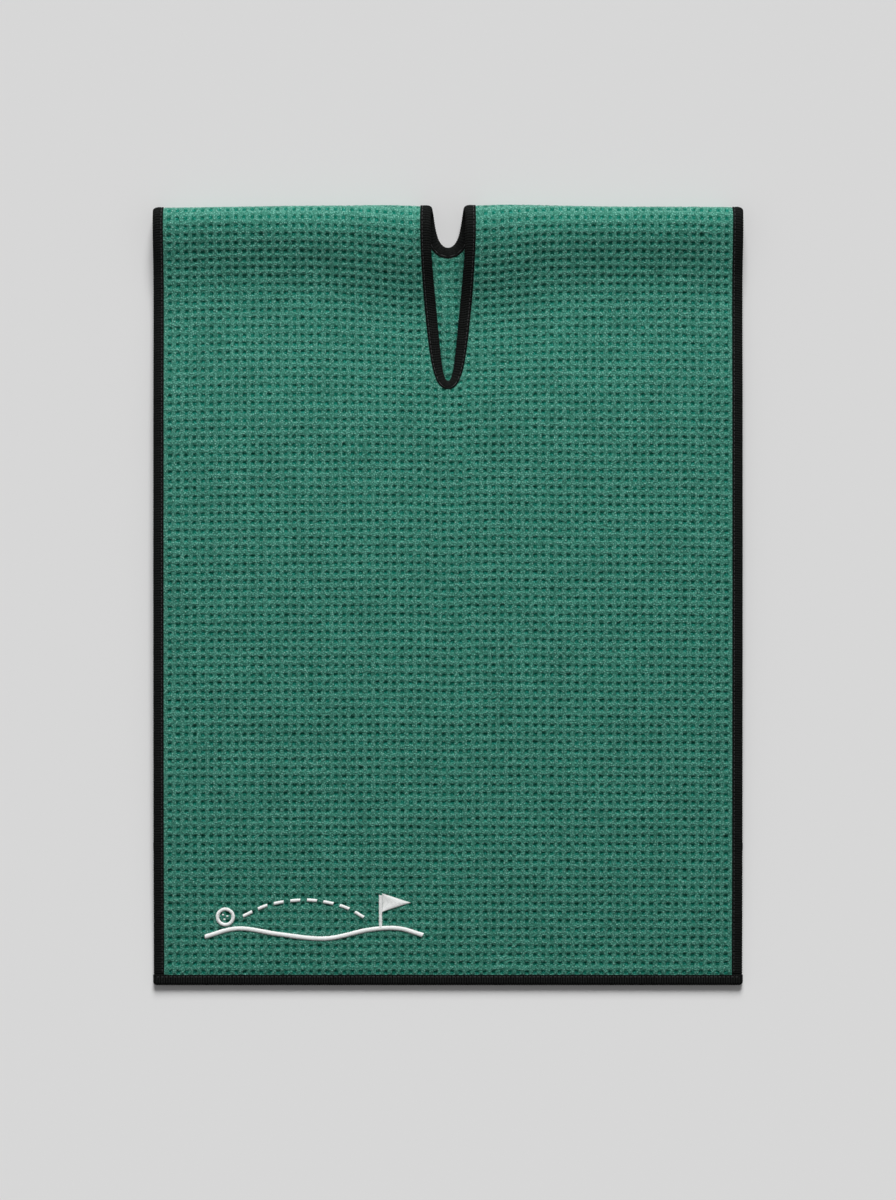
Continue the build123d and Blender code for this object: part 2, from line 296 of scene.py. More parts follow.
# ---------------------------------------------------------------- the slit
# Half widths of the open slit and of its tape's outer edge, by distance from
# the fold edge, on the back leaf and on the front leaf.
B_IN = [(28.5, 0.0), (28.25, 1.3), (27.5, 2.9), (26.4, 4.2), (24.6, 5.5), (21.4, 7.0), (17.3, 8.1),
        (13.1, 8.95), (9.0, 9.5), (4.0, 10.3)]
F_INNER = [(0.0, 11.1), (10, 11.7), (20, 11.75), (30, 11.45), (40, 10.8), (50, 9.95), (60, 9.0),
           (70, 8.05), (80, 7.1), (90, 6.15), (100, 5.15), (106, 4.5), (112, 3.65), (116, 2.8),
           (119, 1.85), (120.5, 1.0), (121.1, 0.0)]
B_OUTER = [(35.4, 0.0), (35.0, 3.4), (34.0, 5.9), (32.4, 8.2), (29.7, 10.9), (26.0, 13.2), (21.0, 15.2),
           (15.0, 16.8), (8.0, 18.0), (3.0, 18.6)]
F_OUTER = [(0.0, 18.9), (10, 19.2), (20, 19.1), (30, 18.75), (40, 18.25), (50, 17.65), (60, 16.95),
           (70, 16.1), (80, 15.1), (90, 14.05), (100, 12.75), (106, 11.8), (112, 10.55), (116, 9.4),
           (119, 8.25), (122, 6.6), (124, 4.95), (125.6, 2.9), (126.3, 0.0)]
rim_in = [(s_at(h, t, False), h) for t, h in B_IN] + [(s_at(h, t), h) for t, h in F_INNER]
rim_out = [(s_at(h, t, False), h) for t, h in B_OUTER] + [(s_at(h, t), h) for t, h in F_OUTER]
right = np.array([(h, s) for s, h in rim_in])
wide = np.array([(h, s) for s, h in rim_out])


def resample(line, step, closed=False):
    if closed:
        line = np.concatenate([line, line[:1]])
    seg = np.hypot(*np.diff(line, axis=0).T)
    acc = np.concatenate([[0], np.cumsum(seg)])
    n = max(int(round(acc[-1] / step)), 3)
    at = np.linspace(0, acc[-1], n + 1)
    out = np.stack([np.interp(at, acc, line[:, 0]), np.interp(at, acc, line[:, 1])], 1)
    return (out[:-1], acc[-1]) if closed else (out, acc[-1])


def relax(line, passes, closed=True):
    for _ in range(passes):
        if closed:
            line = (np.roll(line, 1, 0) + 2 * line + np.roll(line, -1, 0)) / 4
        else:
            line[1:-1] = (line[:-2] + 2 * line[1:-1] + line[2:]) / 4
    return line


loop = np.concatenate([right, (right * np.array([-1, 1]))[::-1][1:-1]])
loop, _ = resample(loop, 0.8, True)
loop = relax(loop, 10)
RIB = 1.7
loop, slit_len = resample(loop, 0.4, True)
n_ribs = int(round(slit_len / RIB))
loop, slit_len = resample(loop, slit_len / (n_ribs * 3), True)
tan = np.roll(loop, -1, 0) - np.roll(loop, 1, 0)
tan /= np.linalg.norm(tan, axis=1, keepdims=True)
out = np.stack([tan[:, 1], -tan[:, 0]], 1)
centre = np.array([0.0, 40.0])
if np.mean(np.sum(out * (loop - centre), 1)) < 0:
    out = -out
s_low, s_high = loop[:, 1].min(), loop[:, 1].max()
# The tape is as wide as the gap between the two outlines, narrowest round the
# slit's tight front end.
wide = np.concatenate([wide, (wide * np.array([-1, 1]))[::-1][1:-1]])
wide = relax(resample(wide, 0.6, True)[0], 10)
slit_w = np.sqrt(((loop[:, None, :] - wide[None, :, :]) ** 2).sum(2)).min(1)
for _ in range(60):
    slit_w = (np.roll(slit_w, 1) + 2 * slit_w + np.roll(slit_w, -1)) / 4
outer = loop + out * slit_w[:, None]

cut_r = loop[(loop[:, 0] > 0)]
cut_r = cut_r[np.argsort(cut_r[:, 1])]


def cut_half(s):
    """Half the width of the cut in the cloth, a little inside the tape."""
    h = np.interp(s, cut_r[:, 1], cut_r[:, 0], left=0, right=0) + 1.0
    inside = (s > s_low - 0.8) & (s < s_high + 0.8)
    end = np.minimum(1, np.maximum(0, np.minimum(s - (s_low - 0.8), (s_high + 0.8) - s)) / 1.6)
    return np.where(inside, h * np.sqrt(end), 0.0)


# ----------------------------------------------------------------- the cloth
PU, PS = 5.72, 5.855             # the weave's cells
FRAC_U = np.array([-0.200, 0.0, 0.200, 0.322, 0.678])
FRAC_S = np.array([-0.220, 0.0, 0.220, 0.338, 0.662])
RIDGE = np.array([0.93, 1.0, 0.93, 0.0, 0.0])       # face side, by column or row
REAR = np.array([0.16, -0.04, 0.16, 0.97, 0.97])      # reverse, half a cell over


def marks(lo, hi, pitch, phase, frac):
    k = np.arange(math.floor(lo / pitch) - 1, math.ceil(hi / pitch) + 2)
    pos = ((k[:, None] + frac[None, :]) * pitch + phase).ravel()
    cell = np.repeat(k, 5)
    kind = np.tile(np.arange(5), len(k))
    keep = (pos > lo + 0.5) & (pos < hi - 0.5)
    return pos[keep], cell[keep], kind[keep]


TON = HALF_W - 0.9
ur, ucell, ukind = marks(0.0, TON, PU, 0.0, FRAC_U)
ur = np.concatenate([[0.0], ur, [TON]])
ukind = np.concatenate([[0], ukind, [0]])
ucell = np.concatenate([[0], ucell, [999]])
s_lo, s_hi = -S_B + 0.9, S_F - 0.9
sv, scell, skind = marks(s_lo, s_hi, PS, 1.9, FRAC_S)
sv = np.concatenate([[s_lo], sv, [s_hi]])
skind = np.concatenate([[0], skind, [0]])
scell = np.concatenate([[-999], scell, [999]])
nr, nc = len(sv), len(ur)


def shift(u, s):
    """The weave's rows sag towards the slit where it is pulled open."""
    a = np.maximum(np.abs(u) - 18.0, 0.0)
    return 5.6 * np.exp(-(a / 46.0) ** 2) * np.exp(-((s - 45.0) / 85.0) ** 2)


def pile(kind_u, kind_s, reverse):
    """0 in a pit, 1 on a ridge, for every point of the grid."""
    h = REAR if reverse else RIDGE
    return np.maximum(h[kind_s][:, None], h[kind_u][None, :])


def fine(shape, scale_r, scale_c, rng):
    """Smooth seeded noise over a grid, about -1 to 1."""
    h, w = shape
    nh, nw = max(int(h / scale_r) + 3, 4), max(int(w / scale_c) + 3, 4)
    g = rng.normal(0, 1, (nh, nw))
    y = np.linspace(0, nh - 1.001, h)
    x = np.linspace(0, nw - 1.001, w)
    yi, xi = y.astype(int), x.astype(int)
    fy, fx = smooth(y - yi)[:, None], smooth(x - xi)[None, :]
    return ((1 - fy) * (1 - fx) * g[yi][:, xi] + (1 - fy) * fx * g[yi][:, xi + 1]
            + fy * (1 - fx) * g[yi + 1][:, xi] + fy * fx * g[yi + 1][:, xi + 1])


def cloth_half(sign):
    """(u, s, front n, back n, relief front, relief back) over half the cloth."""
    rng = np.random.default_rng(11 if sign > 0 else 12)
    U = np.repeat(ur[None, :], nr, 0)
    S = np.repeat(sv[:, None], nc, 1)
    jit_u = 0.13 * rng.normal(0, 1, U.shape) + 0.14 * fine(U.shape, 6, 6, rng)
    jit_s = 0.12 * rng.normal(0, 1, U.shape) + 0.14 * fine(U.shape, 6, 6, rng)
    S = S + shift(U, S)
    half = cut_half(S[:, :1])
    open_ = half > 0.05
    span = half + 5.2
    squeezed = np.where(open_ & (U < span), half + U * (span - half) / span, U)
    # distance to the nearest tape edge, positive in the open cloth
    d = np.minimum(IN_X - squeezed, np.minimum(S - (-S_B + TAPE_W), (S_F - TAPE_W) - S))
    near = (squeezed < 32) & (S > s_low - 14) & (S < s_high + 14)
    q = np.stack([squeezed[near], S[near]], 1)
    o = outer[outer[:, 0] > -2]
    dist = np.sqrt(((q[:, None, :] - o[None, :, :]) ** 2).sum(2)).min(1)
    order = np.argsort(o[:, 1])
    edge = np.interp(q[:, 1], o[order, 1], o[order, 0], left=-1, right=-1)
    within = (q[:, 0] < edge)
    dn = np.where(within, -dist, dist)
    d[near] = np.minimum(d[near], dn)
    amp = smooth((d + 0.15) / 1.1)
    calm = smooth((d - 0.1) / 1.0)
    front, rear = pile(ukind, skind, False), pile(ukind, skind, True)
    cell_r = rng.normal(0, 1, (len(np.unique(scell)), len(np.unique(ucell))))
    _, a = np.unique(scell, return_inverse=True)
    _, b = np.unique(ucell, return_inverse=True)
    deep = 0.63 + 0.10 * cell_r[a][:, b]
    tuft = 0.10 * rng.normal(0, 1, U.shape)
    nf = deep + front * (1.40 - deep) + tuft
    nb = deep + rear * (1.40 - deep) + 0.10 * rng.normal(0, 1, U.shape)
    nf = 0.78 + amp * (np.clip(nf, 0.02, 1.62) - 0.78)
    nb = 0.78 + amp * (np.clip(nb, 0.02, 1.62) - 0.78)
    edge_u = np.zeros_like(U)
    edge_u[:, [0, -1]] = 1
    edge_u[[0, -1], :] = 1
    keep = calm * (1 - edge_u)
    keep[:, 0] = 0
    uu = squeezed + jit_u * keep
    ss = S + jit_s * keep
    return sign * uu, ss, nf, -nb, amp * np.clip(1 - front, 0, 1), amp * np.clip(1 - rear, 0, 1), open_[:, 0]


co, rel, uvs, us, ss_ = [], [], [], [], []
index = {}
count = 0
for sign in (1, -1):
    u, s, nf, nb, rf, rb, open_rows = cloth_half(sign)
    for face, n, r in (("f", nf, rf), ("b", nb, rb)):
        idx = np.arange(count, count + nr * nc).reshape(nr, nc)
        index[(sign, face)] = idx
        co.append(place(u, s, n).reshape(-1, 3))
        rel.append(r.ravel())
        uvs.append(np.stack([u.ravel() * 0.01, s.ravel() * 0.01 + (0 if face == "f" else 40)], 1))
        us.append(u.ravel())
        ss_.append(s.ravel())
        count += nr * nc
co, rel, uvs = np.concatenate(co), np.concatenate(rel), np.concatenate(uvs)
us, ss_ = np.concatenate(us), np.concatenate(ss_)
# the two halves share their middle column except along the cut
for face in ("f", "b"):
    L, R = index[(-1, face)], index[(1, face)]
    shut = ~open_rows
    co[R[shut, 0]] = (co[R[shut, 0]] + co[L[shut, 0]]) / 2
    L[shut, 0] = R[shut, 0]
quads = []


def patch(idx, flip):
    q = np.stack([idx[:-1, :-1], idx[:-1, 1:], idx[1:, 1:], idx[1:, :-1]], -1).reshape(-1, 4)
    return q[:, ::-1] if flip else q


def wall(a, b, flip):
    q = np.stack([a[:-1], a[1:], b[1:], b[:-1]], -1)
    return q[:, ::-1] if flip else q


for sign in (1, -1):
    f, b = index[(sign, "f")], index[(sign, "b")]
    flip = sign < 0
    quads.append(patch(f, not flip))
    quads.append(patch(b, flip))
    quads.append(wall(f[:, -1], b[:, -1], flip))           # side edge
    quads.append(wall(f[0, :], b[0, :], flip))             # back hem
    quads.append(wall(f[-1, :], b[-1, :], not flip))       # front hem
    cut = open_rows[:-1] | open_rows[1:]
    w = wall(f[:, 0], b[:, 0], not flip)
    quads.append(w[cut])
quads = np.concatenate(quads)
used = np.unique(quads)
remap = -np.ones(len(co), int)
remap[used] = np.arange(len(used))
quads = remap[quads]
cloth = build("waffle_cloth", co[used], quads, {"relief": rel[used]}, uvs[used])
cu, cs = us[used], ss_[used]
# a second layout inside the unit square: the face side on the left, the
# reverse on the right, and the thin edge walls laid along the face's outline
on_rear = np.zeros(count, bool)
for sign in (1, -1):
    on_rear[index[(sign, "b")]] = True
on_rear = on_rear[used]
loops_ = np.zeros(len(cloth.data.loops), np.int32)
cloth.data.loops.foreach_get("vertex_index", loops_)
rear_loop = np.repeat(on_rear[loops_].reshape(-1, 4).all(1), 4)
sheet_uv = np.stack([(cu[loops_] + 206) / 1010 + np.where(rear_loop, 0.55, 0.02),
                     (cs[loops_] + 452) / 1010], 1)
cloth.data.uv_layers.new(name="OFBake").data.foreach_set("uv", sheet_uv.astype(np.float32).ravel())
cloth.data.uv_layers.active = cloth.data.uv_layers["cloth"]


# ----------------------------------------------------------------- bindings
SECTION_OUT = np.array([          # (share of the width, share of half thickness)
    (1.0, 0.56), (1.0, 0.84), (0.965, 0.99), (0.89, 0.97), (0.81, 0.86), (0.74, 0.97), (0.50, 1.0),
    (0.30, 1.0), (0.17, 0.93), (0.08, 0.74), (0.025, 0.42), (0.0, 0.0)])
SECTION_OUT = np.concatenate([SECTION_OUT, (SECTION_OUT * np.array([1, -1]))[::-1][1:]])
SECTION_IN = np.array([(1.0, -0.52), (0.5, -0.52), (0.20, -0.50), (0.12, 0.0), (0.20, 0.50), (0.5, 0.52), (1.0, 0.52)])


def tape(name, line, into, width, thick, closed, rib_n, nose=None):
    """A folded tape along a line in (u, s), reaching into the cloth by width.
    thick is half its thickness; rib_n counts the sections between two ribs."""
    n = len(line)
    k = np.arange(n)
    # the ribs flatten where the tape is stretched round a bend
    turn_ = np.hypot(*(np.roll(into, -1, 0) - np.roll(into, 1, 0)).T) if closed else np.zeros(n)
    turn_ = relax(np.stack([turn_, turn_], 1), 12)[:, 0]
    rib = np.where(k % rib_n == 0, -1.0 + 0.9 * np.clip(turn_ / 0.16, 0, 1), 0.35)
    width = np.broadcast_to(width, (n,)).astype(float)
    thick = np.broadcast_to(thick, (n,)).astype(float)
    nose = np.zeros(n) if nose is None else nose
    eo = nose[:, None] + SECTION_OUT[None, :, 0] * (width - nose)[:, None]
    no = SECTION_OUT[None, :, 1] * thick[:, None]
    ribs = 0.25 * rib[:, None]
    no = no + ribs * np.sign(SECTION_OUT[None, :, 1]) * (np.abs(SECTION_OUT[None, :, 1]) > 0.6)
    eo = eo - ribs * (SECTION_OUT[None, :, 0] < 0.12) * 0.8
    ei = nose[:, None] + SECTION_IN[None, :, 0] * (width - nose)[:, None]
    ni = SECTION_IN[None, :, 1] * thick[:, None]
    e = np.concatenate([eo, ei], 1)
    nn = np.concatenate([no, ni], 1)
    m = e.shape[1]
    u = line[:, 0:1] + into[:, 0:1] * e
    s = line[:, 1:2] + into[:, 1:2] * e
    co = place(u, s, nn).reshape(-1, 3)
    seg = np.hypot(*np.diff(line, axis=0).T)
    run = np.concatenate([[0], np.cumsum(seg)])
    uv = np.stack([np.repeat(run[:, None], m, 1), np.arange(m)[None, :] * 0.7 + 0 * e], -1).reshape(-1, 2) * 0.01
    q = grid_quads(n, m, wrap_r=closed, wrap_c=True)
    tris = None
    if not closed:
        tris = cap_section(m, len(SECTION_OUT), n)
    # rib also sets the painted groove shade in the tape's colour
    attrs = {"rib": (np.repeat(rib[:, None], m, 1).ravel() + 1.0) / 1.35}
    ob = build(name, co, q, attrs, uv, tris)
    return ob, u.ravel(), s.ravel()


def cap_section(m, half, n):
    """Closes the two ends of a tape: the ring between its faces, as quads cut
    into triangles."""
    outer_ids = list(range(half))
    inner_ids = list(range(m - 1, half - 1, -1))
    tris = []
    for base, turn in ((0, False), ((n - 1) * m, True)):
        i = j = 0
        while i < len(outer_ids) - 1 or j < len(inner_ids) - 1:
            a, b = outer_ids[i], inner_ids[j]
            if j == len(inner_ids) - 1 or (
                    i < len(outer_ids) - 1 and (i + 1) / (len(outer_ids) - 1) <= (j + 1) / (len(inner_ids) - 1)):
                t = (a, outer_ids[i + 1], b)
                i += 1
            else:
                t = (a, inner_ids[j + 1], b)
                j += 1
            t = tuple(base + x for x in t)
            tris.append(t[::-1] if not turn else t)
    return np.array(tris)


slit_tape, su_, ss2_ = tape("slit_binding", loop, out, slit_w, T_HALF, True, 3)
parts = {"slit_binding": (slit_tape, su_, ss2_)}

for side, sg in (("left", -1), ("right", 1)):
    lo, hi = -S_B + 1.2, S_F - 1.2
    n = int(round((hi - lo) / RIB)) * 3 + 1
    srun = np.linspace(lo, hi, n)
    line = np.stack([np.full(n, sg * HALF_W), srun], 1)
    into = np.stack([np.full(n, -sg * 1.0), np.zeros(n)], 1)
    ends = np.minimum(srun + S_B, S_F - srun)
    thick = T_HALF - 0.75 * (1 - smooth((ends - 5.5) / 5.0))
    line[:, 0] -= sg * 0.8 * (1 - smooth((ends - 4.0) / 4.0))
    parts["side_binding_" + side] = tape("side_binding_" + side, line, into, TAPE_W, thick, False, 3)

for where, send, dr in (("front", S_F, -1.0), ("back", -S_B, 1.0)):
    hw = HALF_W + 0.35
    n = int(round(2 * hw / RIB)) * 3 + 1
    urun = np.linspace(-hw, hw, n)
    # a few extra sections at the rounded ends
    extra = hw - np.array([0.12, 0.4, 0.8])
    urun = np.sort(np.concatenate([urun, extra, -extra]))
    line = np.stack([urun, np.full(len(urun), send)], 1)
    into = np.stack([np.zeros(len(urun)), np.full(len(urun), dr)], 1)
    r = 2.4
    over = np.clip((np.abs(urun) - (hw - r)) / r, 0, 1)
    nose = r * (1 - np.sqrt(1 - over ** 2 * 0.999))
    thick = T_HALF + 0.05 + 0.12 * smooth((np.abs(urun) - 190) / 8)
    parts["hem_tape_" + where] = tape("hem_tape_" + where, line, into, TAPE_W, thick, False, 3, nose)


# ---------------------------------------------------------------- stitching
def stitches(name, line, into, depth, pitch, lift, length=0.78, radius=0.19, closed=False, faces=(1, -1)):
    """Lockstitches along a line in (u, s), depth into the cloth from it."""
    acc = np.concatenate([[0], np.cumsum(np.hypot(*np.diff(line, axis=0).T))])
    total = acc[-1]
    k = int(total // pitch)
    mid = (np.arange(k) + 0.5) * total / k
    rng = np.random.default_rng(len(name) * 7 + k)
    depth = np.broadcast_to(depth, (len(line),)).astype(float)

    def at(x):
        f = lambda v: np.interp(x, acc, v)
        p = np.stack([f(line[:, 0]), f(line[:, 1])], -1)
        e = np.stack([f(into[:, 0]), f(into[:, 1])], -1)
        e /= np.linalg.norm(e, axis=-1, keepdims=True)
        return p + e * f(depth)[..., None], e

    rings, sides = np.linspace(-1, 1, 6), 6
    prof = np.sqrt(np.maximum(0.0, 1 - np.abs(rings) ** 2.6))
    prof[[0, -1]] = 0.30
    ang = np.arange(sides) / sides * 2 * np.pi
    cos_, quads_, uu_, ss__ = [], [], [], []
    base = 0
    for face in faces:
        half = pitch * length / 2 * (1 + 0.05 * rng.normal(0, 1, k))
        x = mid[:, None] + rings[None, :] * half[:, None]
        p, e = at(x)
        side_in = np.sin(ang)[None, None, :] * radius * prof[None, :, None]
        up = np.cos(ang)[None, None, :] * radius * 0.9 * prof[None, :, None]
        arch = lift - 0.16 * (np.abs(rings) ** 2)[None, :, None]
        u = p[..., 0][..., None] + e[..., 0][..., None] * side_in
        s = p[..., 1][..., None] + e[..., 1][..., None] * side_in
        n = face * (arch + up)
        n = np.broadcast_to(n, u.shape)
        c = place(u, s, n).reshape(-1, 3)
        ring = grid_quads(len(rings), sides, wrap_c=True, flip=face > 0)
        caps = np.array([[0, 1, 2, 3], [0, 3, 4, 5]])
        last = (len(rings) - 1) * sides
        endc = caps[:, ::-1] + last
        if face > 0:
            allq = np.concatenate([ring, caps, endc])
        else:
            allq = np.concatenate([ring, caps[:, ::-1], endc[:, ::-1]])
        per = len(rings) * sides
        offs = (np.arange(k) * per)[:, None, None]
        quads_.append((allq[None] + offs + base).reshape(-1, 4))
        cos_.append(c)
        uu_.append(u.ravel())
        ss__.append(s.ravel())
        base += k * per
    u, s = np.concatenate(uu_), np.concatenate(ss__)
    uv = np.stack([u, s], 1) * 0.01
    ob = build(name, np.concatenate(cos_), np.concatenate(quads_), None, uv)
    return ob, u, s


TOP = T_HALF * 0.86 + 0.12
lc = np.concatenate([loop, loop[:1]])
oc = np.concatenate([out, out[:1]])
wc = np.concatenate([slit_w, slit_w[:1]])
parts["stitching_slit"] = stitches("stitching_slit", lc, oc, wc * 0.81, 2.9, TOP)
for side, sg in (("left", -1), ("right", 1)):
    srun = np.arange(-S_B + TAPE_W + 1, S_F - TAPE_W - 1, 1.0)
    line = np.stack([np.full(len(srun), sg * HALF_W), srun], 1)
    into = np.stack([np.full(len(srun), -sg * 1.0), np.zeros(len(srun))], 1)
    parts["stitching_" + side] = stitches("stitching_" + side, line, into, TAPE_W * 0.81, 2.9, TOP)
for where, send, dr in (("front", S_F, -1.0), ("back", -S_B, 1.0)):
    urun = np.arange(-HALF_W + 1.6, HALF_W - 1.5, 1.0)
    line = np.stack([urun, np.full(len(urun), send)], 1)
    into = np.stack([np.zeros(len(urun)), np.full(len(urun), dr)], 1)
    parts["stitching_of_hem_" + where] = stitches("stitching_of_hem_" + where, line, into, TAPE_W * 0.81, 2.9, TOP + 0.1)


# --------------------------------------------------------------- embroidery
MX, MT = -92.5, 495.0            # middle of the motif: across, below the fold
M_HALF = 75.0


def xy(points):
    """Motif points (right, up) in mm to (u, s)."""
    p = np.asarray(points, float)
    k = int(round((MX - U_T[0]) / (U_T[1] - U_T[0])))
    front = S_T > 100
    s = np.interp(MT - p[:, 1], YF - P_T[k, front, 1], S_T[front])
    return np.stack([p[:, 0] + MX, s], 1)


def spline(points, step=0.3):
    p = np.asarray(points, float)
    p = np.concatenate([[2 * p[0] - p[1]], p, [2 * p[-1] - p[-2]]])
    outp = []
    for i in range(1, len(p) - 2):
        q = np.linspace(0, 1, 24, endpoint=False)[:, None]
        a, b, c, d = p[i - 1], p[i], p[i + 1], p[i + 2]
        outp.append(0.5 * (2 * b + (c - a) * q + (2 * a - 5 * b + 4 * c - d) * q ** 2
                           + (3 * b - a - 3 * c + d) * q ** 3))
    outp.append(p[-2:-1])
    line = np.concatenate(outp)
    return resample(line, step)[0]


def satin(line, width, lean=0.35, pad=0.62, pitch=0.34):
    """Threads laid side by side across a stroke.  line and width in motif mm."""
    line, total = resample(np.asarray(line, float), pitch)
    n = len(line)
    t = np.gradient(line, axis=0)
    t /= np.linalg.norm(t, axis=1, keepdims=True)
    e = np.stack([-t[:, 1], t[:, 0]], 1)
    width = np.interp(np.linspace(0, 1, n), np.linspace(0, 1, len(np.atleast_1d(width))), np.atleast_1d(width)) if np.ndim(width) else np.full(n, width)
    rng = np.random.default_rng(int(total * 10) + n)
    width = width * (1 + 0.045 * rng.normal(0, 1, n))
    a = np.linspace(-1, 1, 9)
    mid = line[:, None, :] + e[:, None, :] * (a[None, :, None] * width[:, None, None] / 2) \
        + t[:, None, :] * (a[None, :, None] * lean)
    lift = 1.42 + pad * (1 - np.abs(a) ** 2.4)[None, :] + 0.03 * rng.normal(0, 1, (n, 1))
    return mid, lift


def threads(strands, radius=0.2):
    """Round threads along strands: lists of (points in motif mm, heights)."""
    cos_, quads_, tone, uvs_, at_ = [], [], [], [], []
    base = 0
    sides = 5
    ang = np.arange(sides) / sides * 2 * np.pi
    for mid, lift in strands:
        n, m = mid.shape[:2]
        d = np.gradient(mid, axis=1)
        d /= np.maximum(np.linalg.norm(d, axis=2, keepdims=True), 1e-9)
        e = np.stack([-d[..., 1], d[..., 0]], -1)
        prof = np.ones(m)
        prof[[0, -1]] = 0.45
        off = np.sin(ang)[None, None, :] * radius * prof[None, :, None]
        up = np.cos(ang)[None, None, :] * radius * prof[None, :, None]
        p = mid[:, :, None, :] + e[:, :, None, :] * off[..., None]
        n_ = lift[:, :, None] + up
        q = xy(p.reshape(-1, 2))
        at_.append(q)
        cos_.append(place(q[:, 0], q[:, 1], n_.ravel()))
        ring = grid_quads(m, sides, wrap_c=True)
        per = m * sides
        offs = (np.arange(n) * per)[:, None, None]
        quads_.append((ring[None] + offs + base).reshape(-1, 4))
        tone.append(np.repeat(np.random.default_rng(n).uniform(0, 1, n), per))
        uvs_.append(np.stack([np.repeat(np.tile(np.arange(m) * 0.3, n), sides), np.repeat(np.arange(n) * 0.4, per)], 1))
        for b0, turn in ((0, False), ((m - 1) * sides, True)):
            tri = np.array([[0, 1, 2], [0, 2, 3], [0, 3, 4]])
            tri = tri[:, ::-1] if not turn else tri
            END_TRIS.append((tri[None] + offs + base + b0).reshape(-1, 3))
        base += n * per
    return (np.concatenate(cos_), np.concatenate(quads_), np.concatenate(tone), np.concatenate(uvs_),
            np.concatenate(at_))


END_TRIS = []
STROKE = 3.1
fairway = spline([(-75, -8.2), (-52, -2.6), (-24, -6.6), (8, -9.6), (38, -3.6), (58, -2.6), (75, -7.2)])
pole = spline([(46, -1.6), (46, 7), (46, 20.2)])
arc = spline([(-50, 5.4), (-30, 14.0), (-4, 17.0), (20, 12.6), (37, 3.6)], 0.25)
strands = [satin(fairway, STROKE)]
strands.append(satin(pole, 2.4, lean=0.2))
# the pennant: long threads, each from the pole to the fly edge
rows_ = 38
fly = np.linspace(0, 1, rows_)
top, low = np.array((47.0, 21.4)), np.array((47.0, 9.0))
a_ = top + (low - top) * fly[:, None]
reach_ = 1 - np.abs(fly * 2 - 1)
b_ = a_ + np.stack([19.5 * reach_ + 0.6, 0 * fly], 1)
q_ = np.linspace(0, 1, 11)
mid_ = a_[:, None, :] + (b_ - a_)[:, None, :] * q_[None, :, None]
strands.append((mid_, 1.45 + 0.55 * (1 - np.abs(q_ * 2 - 1) ** 2.4)[None, :] * np.ones((rows_, 1))))
# the ball: a ring of satin stitch
th = np.linspace(0, 2 * np.pi, 90)
ring_ = np.stack([-61 + 5.4 * np.cos(th), 5.4 + 5.4 * np.sin(th)], 1)
strands.append(satin(ring_, 2.5, lean=0.15))
for cx_, cy_ in ((-62.5, 6.9), (-59.6, 5.9), (-61.6, 3.7)):
    strands.append(satin(np.array([(cx_ - 0.5, cy_), (cx_ + 0.5, cy_)]), 1.2, lean=0.0, pad=0.3))
# the ball's flight: short dashes
acc_ = np.concatenate([[0], np.cumsum(np.hypot(*np.diff(arc, axis=0).T))])
k_d = 8
for i in range(k_d):
    lo_, hi_ = acc_[-1] * (i + 0.12) / k_d, acc_[-1] * (i + 0.72) / k_d
    keep = (acc_ >= lo_) & (acc_ <= hi_)
    strands.append(satin(arc[keep], 2.3, lean=0.2, pad=0.55))
# the bobbin thread on the reverse, over the backing: narrower and sparser
behind = []
for mid_, lift_ in strands:
    line_ = mid_.mean(1, keepdims=True)
    behind.append((line_ + (mid_ - line_) * 0.55, np.full(lift_.shape, -1.80)))
c_, q4, tone_, uv_, at_ = threads(strands + [(m_[::2], l_[::2]) for m_, l_ in behind])
motif = build("fairway_motif", c_, q4, {"tone": tone_}, uv_ * 0.01, np.concatenate(END_TRIS))

# the backing behind it
bw, bh = M_HALF + 4, 17.0
gx, gy = np.linspace(-bw, bw, 160), np.linspace(-bh, bh, 36)
GX, GY = np.meshgrid(gx, gy, indexing="xy")
corner = 4.0
ax, ay = np.maximum(np.abs(GX) - (bw - corner), 0), np.maximum(np.abs(GY) - (bh - corner), 0)
d_ = np.hypot(ax, ay)
pull = np.where(d_ > corner, corner / np.maximum(d_, 1e-9), 1.0)
GX = np.where((ax > 0) & (ay > 0), np.sign(GX) * ((bw - corner) + ax * pull), GX)
GY = np.where((ax > 0) & (ay > 0), np.sign(GY) * ((bh - corner) + ay * pull), GY)
pk = fine(GX.shape, 3, 3, np.random.default_rng(5))
sq = xy(np.stack([GX.ravel(), GY.ravel() + 5.0], 1))
n1 = -(1.52 + 0.03 * pk.ravel())
lo_ = place(sq[:, 0], sq[:, 1], n1 - 0.22)
hi_ = place(sq[:, 0], sq[:, 1], n1)
ny_, nx_ = GX.shape
g = grid_quads(ny_, nx_)
nv = ny_ * nx_
rim = np.concatenate([np.arange(nx_), np.arange(1, ny_) * nx_ + nx_ - 1,
                      (ny_ - 1) * nx_ + np.arange(nx_ - 2, -1, -1), np.arange(ny_ - 2, 0, -1) * nx_])
rq = np.stack([rim, rim + nv, np.roll(rim, -1) + nv, np.roll(rim, -1)], 1)
backing = build("motif_backing", np.concatenate([hi_, lo_]), np.concatenate([g[:, ::-1], g + nv, rq[:, ::-1]]),
                None, np.tile(np.stack([GX.ravel(), GY.ravel()], 1), (2, 1)) * 0.01)


# ---------------------------------------------------------------- materials
def material(name):
    m = bpy.data.materials.new(name)
    m.use_nodes = True
    nt = m.node_tree
    for nd in list(nt.nodes):
        nt.nodes.remove(nd)
    o = nt.nodes.new("ShaderNodeOutputMaterial")
    b = nt.nodes.new("ShaderNodeBsdfPrincipled")
    nt.links.new(b.outputs[0], o.inputs[0])
    return m, nt, b


def node(nt, kind, **settings):
    nd = nt.nodes.new(kind)
    for key, val in settings.items():
        if key.startswith("in_"):
            nd.inputs[key[3:].replace("_", " ")].default_value = val
        else:
            setattr(nd, key, val)
    return nd


def uv_mm(nt):
    """The piece's own cloth coordinates, 1 unit to 100 mm."""
    return node(nt, "ShaderNodeUVMap", uv_map="cloth").outputs[0]


